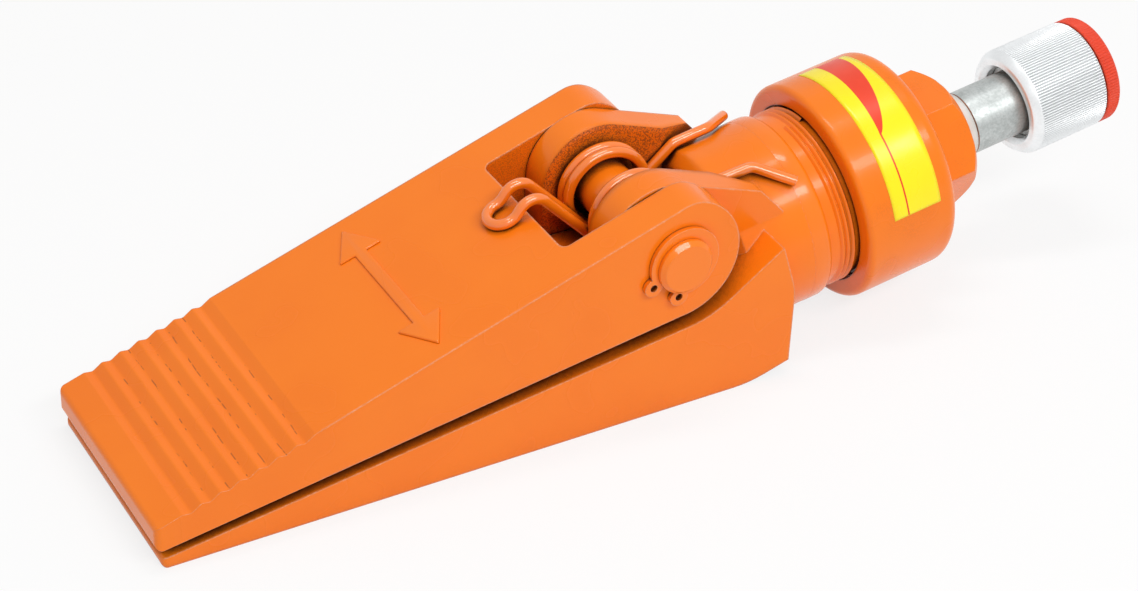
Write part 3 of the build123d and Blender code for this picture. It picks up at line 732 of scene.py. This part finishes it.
# %% Finish every CAD node
finishes = {
    "lower_jaw_body": lug_paint,
    "upper_jaw": jaw_paint,
    "end_cap": cap_paint,
    "pivot_pin": small_paint,
    "retaining_ring_near": small_paint,
    "retaining_ring_far": small_paint,
    "torsion_spring": small_paint,
    "plunger": ground_steel,
    "check_ball": ground_steel,
    "check_spring": ground_steel,
    "sleeve_ring": ground_steel,
    "spring_retainer": ground_steel,
    "coupler_body": dull_zinc,
    "coupler_sleeve": zinc,
    "dust_cap": red_plastic,
    "wear_band": white_ring,
    "backup_ring": white_ring,
    "wiper_ring": seal_rubber,
    "plunger_seal": seal_rubber,
    "cap_seal": seal_rubber,
    "thread_tape": white_ring,
}
for name, finish in finishes.items():
    for slot in nodes[name].material_slots:
        slot.material = finish
print("finished", len(finishes), "of", len(nodes), "nodes")

# %% [markdown]
# ## Making new pieces
# Most new pieces are drawn where it is easiest, along X at the origin, and the finished mesh is then
# moved onto the ram. A lathe helper spins a closed profile around X. It makes the barrel's shoulder,
# the knurled sleeve, the dust cap and the tape, because all of them are round about the ram's axis.

# %% Piece helpers
def finish_piece(bm, name, body, material, place=None):
    """Moves a mesh onto its place and points its faces outwards.

    The piece rides on its CAD body. Without a body it is left free.
    """
    if place is not None:
        bmesh.ops.transform(bm, matrix=place, verts=bm.verts)
    bmesh.ops.recalc_face_normals(bm, faces=bm.faces)
    mesh = bpy.data.meshes.new(name)
    bm.to_mesh(mesh)
    bm.free()
    for face in mesh.polygons:
        face.use_smooth = True
    mesh.materials.append(material)
    piece = bpy.data.objects.new(name, mesh)
    scene.collection.objects.link(piece)
    if body:
        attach(piece, body)
    print(name, len(mesh.polygons), "faces on", body or "two bodies")
    return piece


def chain(bm, points):
    """Vertices through (length, radius) points in millimetres, joined by edges."""
    verts = [bm.verts.new((length * MM, 0, radius * MM)) for length, radius in points]
    edges = [bm.edges.new(pair) for pair in zip(verts, verts[1:])]
    return verts + edges


def lathe(points, steps):
    """A closed profile spun all the way around X."""
    bm = bmesh.new()
    chain(bm, points + points[:1])
    bmesh.ops.remove_doubles(bm, verts=bm.verts, dist=1e-7)
    geometry = bm.verts[:] + bm.edges[:]
    bmesh.ops.spin(
        bm, geom=geometry, cent=(0, 0, 0), axis=(1, 0, 0), angle=math.tau, steps=steps, use_merge=True
    )
    return bm


def sharp_by_angle(piece, degrees):
    """Smooth shading that breaks at edges steeper than the angle."""
    mesh = piece.data
    for edge in mesh.edges:
        edge.use_edge_sharp = False
    mesh.set_sharp_from_angle(angle=math.radians(degrees))


# %% [markdown]
# ## Screw thread on the barrel
# The cap screws over the barrel, and three turns of its fine thread stay in view under the paint. A
# thread is one small ridge carried around the axis while it moves along: the spin operator does
# both when it is given a small step along the axis for each step of turning. A plain turned ring in
# front of the thread is the shoulder that thick paint has rounded off.

# %% Barrel thread
thread_root = 22.15
thread_crest = 22.95
thread_pitch = 1.5
thread_turns = 3
thread_first = 16.8
steps_per_turn = 96
shoulder_height = thread_crest - 0.12
ridge_profile = [
    (0, thread_root),
    (0.5, shoulder_height),
    (0.62, thread_crest),
    (0.85, thread_crest),
    (0.97, shoulder_height),
    (1.45, thread_root),
]

bm = bmesh.new()
ridge = chain(bm, ridge_profile)
bmesh.ops.spin(
    bm,
    geom=ridge,
    cent=(0, 0, 0),
    axis=(1, 0, 0),
    dvec=(thread_pitch * MM / steps_per_turn, 0, 0),
    angle=math.tau * thread_turns,
    steps=steps_per_turn * thread_turns,
    use_merge=False,
)
lengths = [vert.co.x / MM for vert in bm.verts]
print("thread runs from", round(min(lengths), 2), "to", round(max(lengths), 2), "mm")
thread_place = ram_place @ Matrix.Translation((thread_first * MM, 0, 0))
finish_piece(bm, "barrel_thread", "lower_jaw", small_paint, thread_place)

# %% Barrel shoulder
shoulder_profile = [
    (9.0, 22.0),
    (9.0, 23.79),
    (9.6, 23.88),
    (12.9, 23.88),
    (13.6, 23.7),
    (14.1, 23.2),
    (14.4, 22.5),
    (14.5, 22.0),
]
bm = lathe(shoulder_profile, steps=160)
shoulder = finish_piece(bm, "barrel_shoulder", "lower_jaw", small_paint, ram_place)
sharp_by_angle(shoulder, 40)

# %% [markdown]
# ## Coloured band on the cap
# A vinyl band is stuck part of the way around the cap, plain yellow with one tapering red stripe. It
# is an edge spun through an arc just above the cap. The stripe is a second arc above that one, and
# its vertices are then moved so that it narrows to a thin line towards the near side.

# %% Cap band
cap_radius = 28.2
band_lift = 0.05
band_thickness = 0.09
band_front = 29.6
band_rear = 43.0
band_starts = -27
band_ends = 80
stripe_lift = 0.11
stripe_ends = 79.7
bulge_angle = 63.4
bulge_power = 0.75
bulge_shift = 4.2
bulge_half_width = 3.1
line_place = 33.7
line_half_width = 0.22


def arc_patch(length_from, length_to, radius, angle_from, angle_to, rows, columns=12):
    """Part of a tube's wall: angles in degrees from the top, positive towards the near side."""
    bm = bmesh.new()
    step = (length_to - length_from) / columns
    edge = chain(bm, [(length_from + step * column, radius) for column in range(columns + 1)])
    bmesh.ops.spin(
        bm,
        geom=edge,
        cent=(0, 0, 0),
        axis=(1, 0, 0),
        angle=math.radians(angle_to - angle_from),
        steps=rows,
        use_merge=False,
    )
    start = Matrix.Rotation(math.radians(angle_from), 3, "X")
    bmesh.ops.rotate(bm, verts=bm.verts, cent=(0, 0, 0), matrix=start)
    return bm


bm = arc_patch(band_front, band_rear, cap_radius + band_lift, band_starts, band_ends, rows=72)
cap_band = finish_piece(bm, "cap_band", "lower_jaw", yellow_vinyl, ram_place)
wall = cap_band.modifiers.new("thickness", "SOLIDIFY")
wall.thickness = band_thickness * MM
wall.offset = 0

bm = arc_patch(0, 1, cap_radius + stripe_lift, band_starts, stripe_ends, rows=96)
for vert in bm.verts:
    turn = math.degrees(math.atan2(-vert.co.y, vert.co.z))
    share = vert.co.x / MM
    bulge = max(0.0, 1 - ((turn - band_starts) / bulge_angle) ** 2) ** bulge_power
    middle = line_place + bulge_shift * bulge
    half = line_half_width + bulge_half_width * bulge
    vert.co.x = (middle + half * (2 * share - 1)) * MM
finish_piece(bm, "cap_stripe", "lower_jaw", red_ink, ram_place)

# %% [markdown]
# ## Knurled sleeve
# The coupler's sleeve is turned by hand, so its outside carries a fine straight knurl. It starts as
# a plain turned sleeve with four steps per ridge. Every second pair of rows is then drawn inwards,
# only along the knurled length, which leaves ridges with flat tops and a plain chamfered nose.

# %% Sleeve
rows_per_ridge = 4
knurl_ridges = 120


def cut_ribs(bm, ridges, length_from, length_to, least_radius, depth):
    """Draws every second pair of rows inwards, so that straight ribs are left."""
    moved = 0
    for vert in bm.verts:
        radius = math.hypot(vert.co.y, vert.co.z)
        if radius < least_radius * MM or not length_from * MM < vert.co.x < length_to * MM:
            continue
        row = round(math.atan2(vert.co.y, vert.co.z) / math.tau * ridges * rows_per_ridge)
        if row % rows_per_ridge in (0, 1):
            inwards = 1 - depth * MM / radius
            vert.co.y *= inwards
            vert.co.z *= inwards
            moved += 1
    print(moved, "vertices drawn in for", ridges, "ribs")


sleeve_profile = [
    (82.0, 10.9),
    (82.2, 10.6),
    (83.3, 9.6),
    (85.2, 9.6),
    (85.2, 11.9),
    (104.4, 11.9),
    (104.4, 13.5),
    (103.9, 14.0),
    (103.85, 14.05),
    (84.6, 14.05),
    (84.3, 14.02),
    (84.0, 13.9),
    (82.5, 12.9),
    (82.15, 12.6),
    (82.0, 12.3),
]
bm = lathe(sleeve_profile, steps=knurl_ridges * rows_per_ridge)
cut_ribs(bm, knurl_ridges, length_from=84.4, length_to=103.88, least_radius=13.95, depth=0.28)
sleeve = finish_piece(bm, "knurled_sleeve", "sleeve", zinc, ram_place)
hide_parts("coupler_sleeve")
sharp_by_angle(sleeve, 28)

# %% [markdown]
# ## Dust cap
# A red plastic plug closes the coupler. Its rim carries fine ribs for the fingers, and its outer
# face is slightly hollow, as injection-moulded caps are. The profile continues inside as the plug
# that grips the sleeve's bore.

# %% Ribbed cap
rim_ribs = 110
cap_profile = [
    (105.9, 0.01),
    (105.9, 9.95),
    (98.6, 9.95),
    (98.6, 11.35),
    (99.4, 11.75),
    (104.6, 11.75),
    (104.6, 13.7),
    (104.75, 13.95),
    (104.9, 14.0),
    (107.7, 14.0),
    (108.0, 13.9),
    (108.4, 13.6),
    (108.6, 13.1),
    (108.6, 11.6),
    (108.2, 11.0),
    (108.1, 0.01),
]
bm = lathe(cap_profile, steps=rim_ribs * rows_per_ridge)
cut_ribs(bm, rim_ribs, length_from=104.8, length_to=107.9, least_radius=13.97, depth=0.25)
dust_cap = finish_piece(bm, "ribbed_cap", "cap", red_plastic, ram_place)
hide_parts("dust_cap")
sharp_by_angle(dust_cap, 28)

# %% [markdown]
# ## Sealing tape
# The coupler is screwed into the boss over a wrap of white tape. A little of the tape squeezes out
# of the joint, and a brown line of old thread compound marks where the coupler's shoulder begins.

# %% Tape and joint line
tape_profile = [
    (62.2, 7.4),
    (62.2, 8.30),
    (62.7, 8.44),
    (63.4, 8.36),
    (64.1, 8.47),
    (64.9, 8.40),
    (65.9, 8.48),
    (67.0, 8.42),
    (68.1, 8.46),
    (68.1, 7.4),
]
bm = lathe(tape_profile, steps=96)
tape = finish_piece(bm, "tape_wrap", "lower_jaw", white_ring, ram_place)
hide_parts("thread_tape")

joint_profile = [(68.05, 8.1), (68.05, 8.37), (68.25, 8.44), (68.6, 8.36), (68.6, 8.1)]
bm = lathe(joint_profile, steps=96)
finish_piece(bm, "joint_line", "lower_jaw", sealant, ram_place)

# %% [markdown]
# ## Return spring
# Two coils sit on the pin between the lugs. A loop in front pulls on the upper jaw, and two legs
# rest on the barrel. A spring maker bends it from one straight wire, and so does this cell: the end
# ring of the mesh is pushed straight, bent about a centre, or wound around the pin. Half the spring
# is bent, and a mirror gives the rest. The piece rides on no body.

# %% Bending wire
wire_radius = 1.33
wire_sides = 20
degrees_per_step = 7


def start_wire(at, heading):
    """A ring of vertices at a point in millimetres, square to the heading."""
    bm = bmesh.new()
    turn = heading.to_track_quat("Z", "Y").to_matrix().to_4x4()
    place = Matrix.Translation(at * MM) @ turn
    bmesh.ops.create_circle(
        bm, cap_ends=False, segments=wire_sides, radius=wire_radius * MM, matrix=place
    )
    return {"bm": bm, "ring": bm.edges[:], "at": at.copy(), "heading": heading.normalized()}


def push(wire, length):
    """Straight wire."""
    if length < 0.01:
        return
    grown = bmesh.ops.extrude_edge_only(wire["bm"], edges=wire["ring"])["geom"]
    step = wire["heading"] * length
    fresh = [item for item in grown if isinstance(item, bmesh.types.BMVert)]
    bmesh.ops.translate(wire["bm"], vec=step * MM, verts=fresh)
    wire["ring"] = [
        item for item in grown
        if isinstance(item, bmesh.types.BMEdge) and all(vert in fresh for vert in item.verts)
    ]
    wire["at"] += step


def wind(wire, centre, axis, degrees, steps, pitch=0.0):
    """Wire wound about an axis; pitch is how far it moves along the axis in a full turn."""
    angle = math.radians(degrees)
    drift = axis * (pitch * degrees / 360 / steps)
    verts = {vert for edge in wire["ring"] for vert in edge.verts}
    spun = bmesh.ops.spin(
        wire["bm"],
        geom=list(verts) + wire["ring"],
        cent=centre * MM,
        axis=axis,
        dvec=drift * MM,
        angle=angle,
        steps=steps,
        use_merge=False,
    )
    wire["ring"] = [item for item in spun["geom_last"] if isinstance(item, bmesh.types.BMEdge)]
    turn = Matrix.Rotation(angle, 3, axis)
    wire["at"] = centre + turn @ (wire["at"] - centre) + drift * steps
    wire["heading"] = turn @ wire["heading"]


def bend(wire, heading, radius):
    """Bends the wire to a new heading."""
    heading = heading.normalized()
    angle = wire["heading"].angle(heading)
    if angle < 0.01:
        return
    axis = wire["heading"].cross(heading).normalized()
    centre = wire["at"] + axis.cross(wire["heading"]) * radius
    degrees = math.degrees(angle)
    wind(wire, centre, axis, degrees, steps=max(3, round(degrees / degrees_per_step)))


def through(wire, corners, radius):
    """Follows corners with a round bend at each but the last."""
    for corner, after in zip(corners, corners[1:]):
        leave = after - corner
        angle = wire["heading"].angle(leave.normalized())
        push(wire, (corner - wire["at"]).length - radius * math.tan(angle / 2))
        bend(wire, leave, radius)
    push(wire, (corners[-1] - wire["at"]).length)


def tell(label, wire):
    """Prints where the wire has got to and where it points."""
    place = [round(value, 1) for value in wire["at"]]
    heading = [round(value, 2) for value in wire["heading"]]
    print(label, "at", place, "heading", heading)


# %% Spring route
pin = Vector((127.8, 0, 42.2))
coil_radius = 10.3
coil_pitch = 2.62
coil_steps = 150
jaw_slope = math.radians(19.2)
strand_y = 3.7
leg_radius = 25.65
loop_bend = 4.2
leg_bend = 3.6
near_way = Vector((0, -1, 0))


def tangent_turn(point, side):
    """Angle around the pin where a straight wire from the point meets the coil."""
    reach = point - pin
    reach.y = 0
    lean = math.degrees(math.atan2(reach.z, reach.x))
    return lean + side * math.degrees(math.acos(coil_radius / reach.length))


def on_coil(degrees, y):
    """Point of the coil's centre line."""
    turn = math.radians(degrees)
    return pin + Vector((coil_radius * math.cos(turn), y, coil_radius * math.sin(turn)))


def leg_point(along, degrees):
    """Point of a leg just above the barrel."""
    turn = math.radians(degrees)
    height = leg_radius * MM
    spot = Vector((along * MM, -height * math.sin(turn), height * math.cos(turn)))
    return (ram_place @ spot) / MM


loop_centre = Vector((96.5, 0, 47.38))
up_slope = Vector((math.cos(jaw_slope), 0, math.sin(jaw_slope)))
crest = Vector((101.4, -strand_y, 54.6))
entry = tangent_turn(crest, 1)
over_barrel = leg_point(-8.5, 21.6)
leave = tangent_turn(over_barrel, -1) + 360
coil_turn = 720 + leave - entry

wire = start_wire(loop_centre - up_slope * strand_y, near_way)
wind(wire, loop_centre, near_way.cross(up_slope), 90, steps=12)
tell("loop side", wire)
loop_end = loop_centre + near_way * strand_y + up_slope * 0.3
through(wire, [loop_end, crest, on_coil(entry, -strand_y)], loop_bend)
tell("coil start", wire)
wind(wire, pin + near_way * strand_y, near_way, coil_turn, steps=coil_steps, pitch=coil_pitch)
tell("coil end", wire)
over_barrel.y = wire["at"].y
through(wire, [over_barrel, leg_point(1.5, 22.5), leg_point(9.5, 40)], leg_bend)

bm = wire["bm"]
end_face = bmesh.ops.contextual_create(bm, geom=wire["ring"])["faces"]
bmesh.ops.inset_region(bm, faces=end_face, thickness=0.15 * MM, depth=0.12 * MM)
bmesh.ops.mirror(bm, geom=bm.verts[:] + bm.edges[:] + bm.faces[:], axis="Y", merge_dist=0.01 * MM)
spring = finish_piece(bm, "return_spring", None, wire_paint)
sharp_by_angle(spring, 40)
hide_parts("torsion_spring")
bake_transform(spring)

# %% [markdown]
# ## Check spring
# The little spring behind the check ball keeps the shape of its CAD coil, and rides on no body.

# %% Check spring
cad_coil = nodes["check_spring"]
bm = bmesh.new()
bm.from_mesh(cad_coil.data)
coil_to_row = cad_coil.matrix_world.copy()
ball_spring = finish_piece(bm, "ball_spring", None, ground_steel, coil_to_row)
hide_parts("check_spring")
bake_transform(ball_spring)

# %% [markdown]
# ## Raised spread mark
# The top of the upper jaw carries a raised cast mark under the paint: a plain arrow with two heads,
# which says that the jaws spread. It is one flat outline that starts just under the jaw's top and is
# extruded through it. Its edges are bevelled softly, because paint fills every corner of a cast mark.

# %% Spread mark
top_height = 12.3
mark_x = 67.5
mark_sunk = 0.1
mark_thickness = 0.7
mark_bevel = 0.35
mark_place = (
    Matrix.Translation(Vector((mark_x, 0, top_height + mark_x * math.tan(jaw_slope))) * MM)
    @ Matrix.Rotation(-jaw_slope, 4, "Y")
)
arrow_side = [(1.5, 15), (5.6, 15)]
arrow_tip = (0, 25)
outline = arrow_side + [arrow_tip]
outline += [(-x, y) for x, y in reversed(arrow_side)]
outline += [(-x, -y) for x, y in arrow_side + [arrow_tip]]
outline += [(x, -y) for x, y in reversed(arrow_side)]

bm = bmesh.new()
face = bm.faces.new([bm.verts.new((x * MM, y * MM, -mark_sunk * MM)) for x, y in outline])
raised = bmesh.ops.extrude_face_region(bm, geom=[face])["geom"]
top_verts = [item for item in raised if isinstance(item, bmesh.types.BMVert)]
bmesh.ops.translate(bm, vec=(0, 0, mark_thickness * MM), verts=top_verts)
top_edges = [edge for edge in bm.edges if all(vert in top_verts for vert in edge.verts)]
side_edges = [edge for edge in bm.edges if sum(vert in top_verts for vert in edge.verts) == 1]
bmesh.ops.bevel(
    bm,
    geom=top_edges + side_edges,
    offset=mark_bevel * MM,
    offset_type="OFFSET",
    affect="EDGES",
    segments=3,
    profile=0.5,
    material=-1,
)
finish_piece(bm, "spread_mark", "upper_jaw", small_paint, mark_place)
